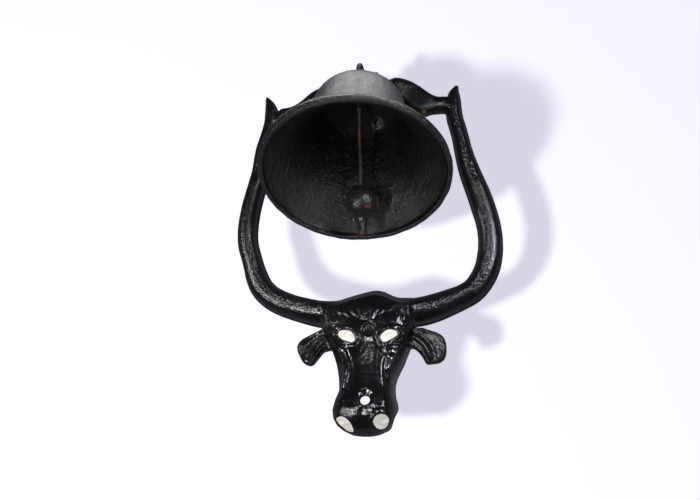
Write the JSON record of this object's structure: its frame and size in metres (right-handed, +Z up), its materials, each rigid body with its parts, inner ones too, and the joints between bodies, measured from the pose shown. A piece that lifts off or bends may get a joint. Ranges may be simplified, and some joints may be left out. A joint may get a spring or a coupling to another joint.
{
  "type": "wall mounted bell",
  "caption": "Cast steer head whose horns curve up to a crossbar; a flared bell with a loose clapper swings on a bolt through two lugs on the bar.",
  "frame": {"origin": "where the axis of the screw hole in the nose meets the wall plane, behind the middle of the muzzle", "axes": "+Z up along the wall, +X to the right of someone facing the bell, the wall is the plane y = 0 and the object stands in front of it toward -Y"},
  "size_m": [0.2732, 0.171, 0.3922],
  "materials": {
    "frame_paint": "gloss black enamel over sand-cast iron, small rust spots",
    "bell_paint": "black enamel, worn satin outside and glossy inside, over sand-cast iron",
    "white_enamel": "thick cream-white enamel, slightly dirty at the edge",
    "iron_wire": "bare iron wire, dark with rust",
    "clapper_iron": "black paint over cast iron, rust showing through",
    "fastener_steel": "black oxide"
  },
  "bodies": {
    "frame": {"frame_casting": "frame_paint", "eye_enamel_right": "white_enamel", "eye_enamel_left": "white_enamel", "nostril_enamel_right": "white_enamel", "nostril_enamel_left": "white_enamel", "pivot_bolt": "fastener_steel", "pivot_nut": "fastener_steel", "pivot_washer_left": "fastener_steel", "pivot_washer_right": "fastener_steel"},
    "bell": {"bell_casting": "bell_paint", "clapper_staple": "iron_wire"},
    "clapper": {"clapper_rod": "iron_wire", "clapper_ball": "clapper_iron"}
  },
  "joints": [
    {"name": "bell_swing", "type": "hinge", "parent": "frame", "child": "bell", "pos_m": [0, -0.0233, 0.3415], "axis": [-1, 0, 0], "range_deg": [0, 90]},
    {"name": "clapper_swing", "type": "hinge", "parent": "bell", "child": "clapper", "pos_m": [0, -0.04052, 0.3074], "axis": [-1, 0, 0], "range_deg": [-4, 57.5]}
  ]
}
